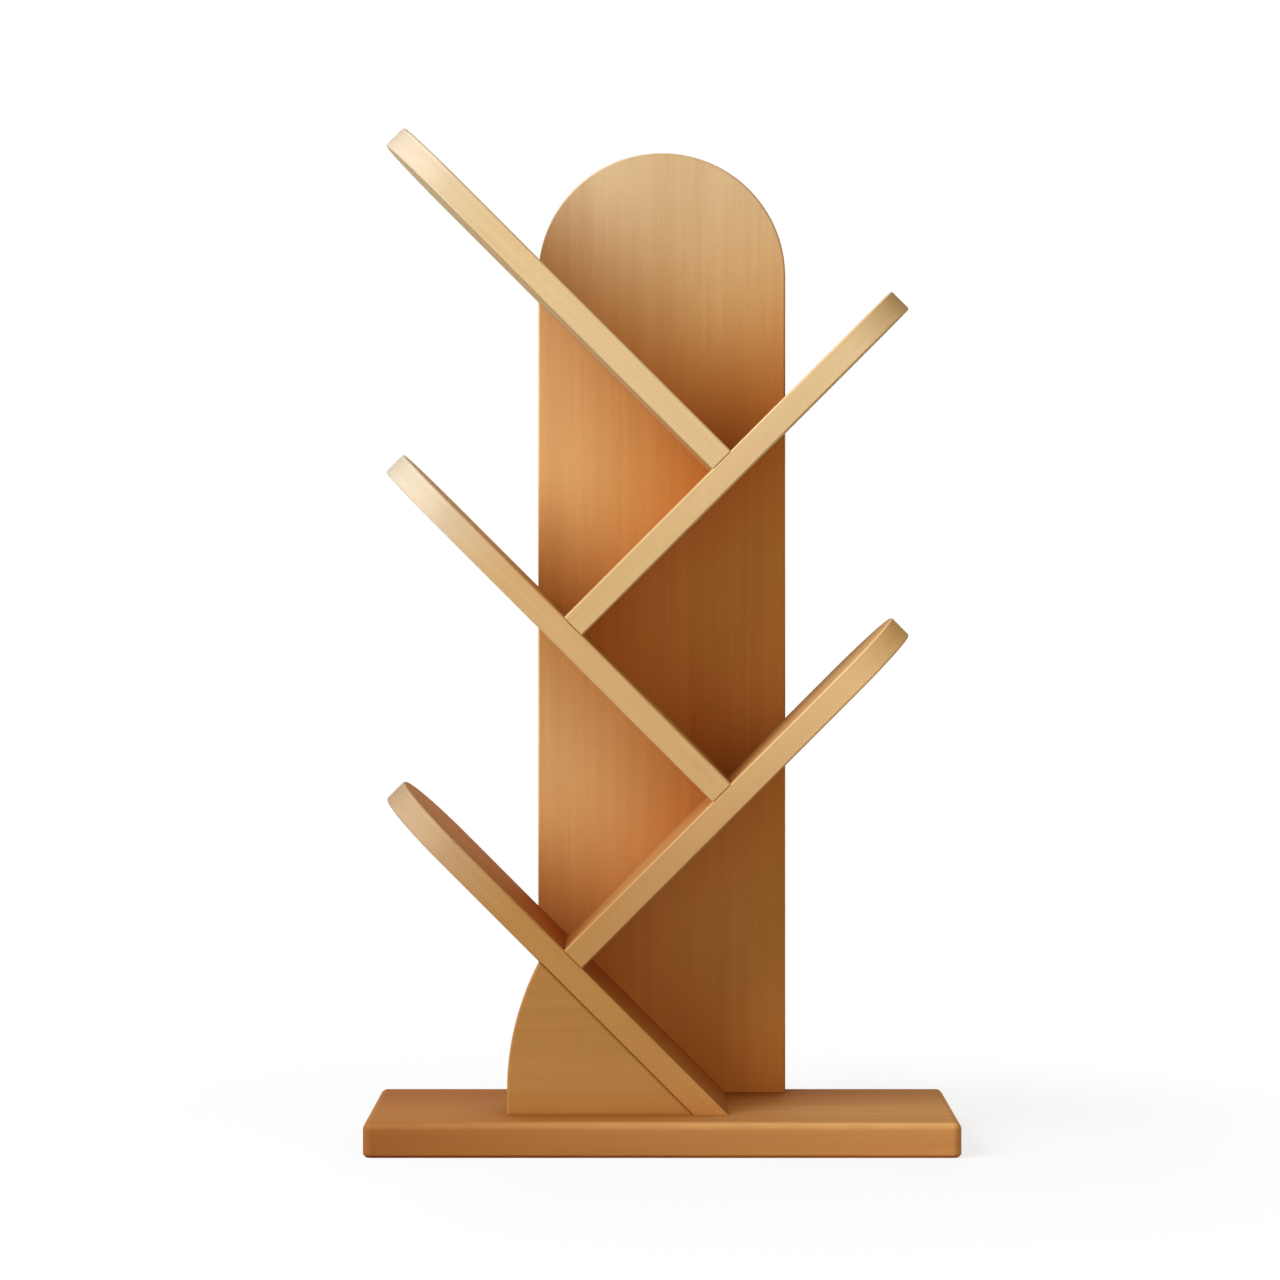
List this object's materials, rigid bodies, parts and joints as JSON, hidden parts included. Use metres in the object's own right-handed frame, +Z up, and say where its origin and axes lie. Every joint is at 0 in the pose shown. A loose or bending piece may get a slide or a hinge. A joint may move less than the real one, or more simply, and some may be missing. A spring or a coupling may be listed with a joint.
{
  "type": "corner bookcase",
  "caption": "Free-standing tree bookcase: slanted boards step up in a zigzag before an upright panel with a round top, on a flat base plank with a curved gusset under the leg.",
  "frame": {"origin": "middle of the base plank's underside, on the floor", "axes": "+Z up, +X to the right seen from the front, +Y towards the back; the front faces -Y"},
  "size_m": [0.6, 0.24, 1.0461],
  "materials": {
    "beech_base": "satin",
    "beech_panel": "satin",
    "beech_gusset": "satin",
    "beech_boards": "satin",
    "zinc_steel": "zinc plated",
    "dowel_beech": "raw"
  },
  "bodies": {
    "root": {"base_plank": "beech_base", "back_panel": "beech_panel", "leg_gusset": "beech_gusset", "leg_board": "beech_boards", "lower_right_shelf": "beech_boards", "middle_left_shelf": "beech_boards", "upper_right_shelf": "beech_boards", "top_left_shelf": "beech_boards", "lower_right_shelf_joint_screws": "zinc_steel", "middle_left_shelf_joint_screws": "zinc_steel", "upper_right_shelf_joint_screws": "zinc_steel", "top_left_shelf_joint_screws": "zinc_steel", "leg_board_panel_screws": "zinc_steel", "lower_right_shelf_panel_screws": "zinc_steel", "middle_left_shelf_panel_screws": "zinc_steel", "upper_right_shelf_panel_screws": "zinc_steel", "top_left_shelf_panel_screws": "zinc_steel", "panel_base_screws": "zinc_steel", "leg_base_screws": "zinc_steel", "gusset_base_screws": "zinc_steel", "lower_right_shelf_joint_dowels": "dowel_beech", "middle_left_shelf_joint_dowels": "dowel_beech", "upper_right_shelf_joint_dowels": "dowel_beech", "top_left_shelf_joint_dowels": "dowel_beech", "panel_base_dowels": "dowel_beech", "gusset_leg_dowels": "dowel_beech"}
  },
  "joints": []
}
